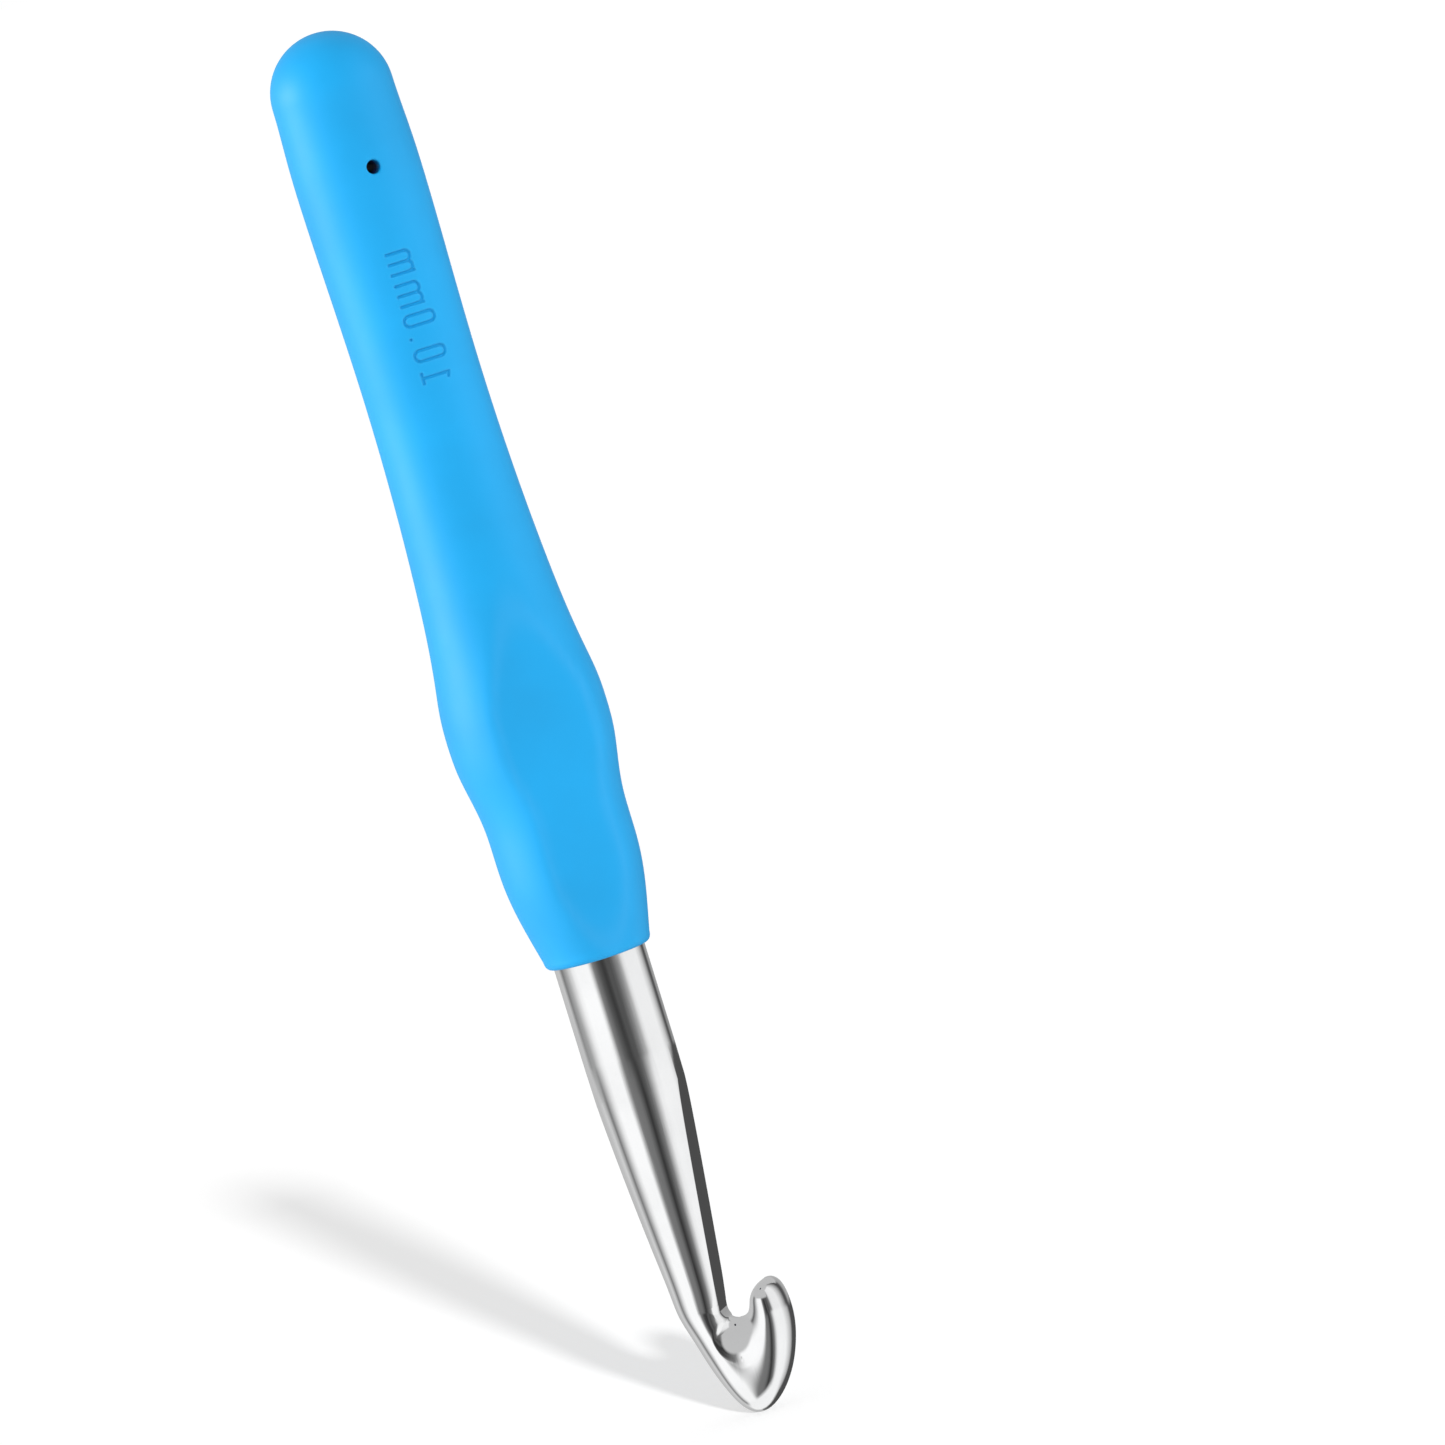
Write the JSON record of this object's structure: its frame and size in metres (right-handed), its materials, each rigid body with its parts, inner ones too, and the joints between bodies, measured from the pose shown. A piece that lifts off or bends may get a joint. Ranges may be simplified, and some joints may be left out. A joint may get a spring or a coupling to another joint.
{
  "type": "crochet hook",
  "caption": "Crochet hook with a bright metal hooked tip, tapered throat with a flat face, and a soft waisted grip with thumb flats and a cord hole.",
  "frame": {"origin": "lowest point level of the hook's tip, under the centre line of the shaft and handle", "axes": "+Z along the shaft from the tip to the domed end of the handle, +X the way the mouth of the hook opens, the thumb flat and the size marking face 58 degrees from +X towards -Y"},
  "size_m": [0.0176, 0.0174, 0.1532],
  "materials": {
    "hook": "polished",
    "core": "moulded",
    "grip": "satin soft-touch"
  },
  "bodies": {
    "root": {"hook": "hook", "core": "core", "grip": "grip"}
  },
  "joints": []
}
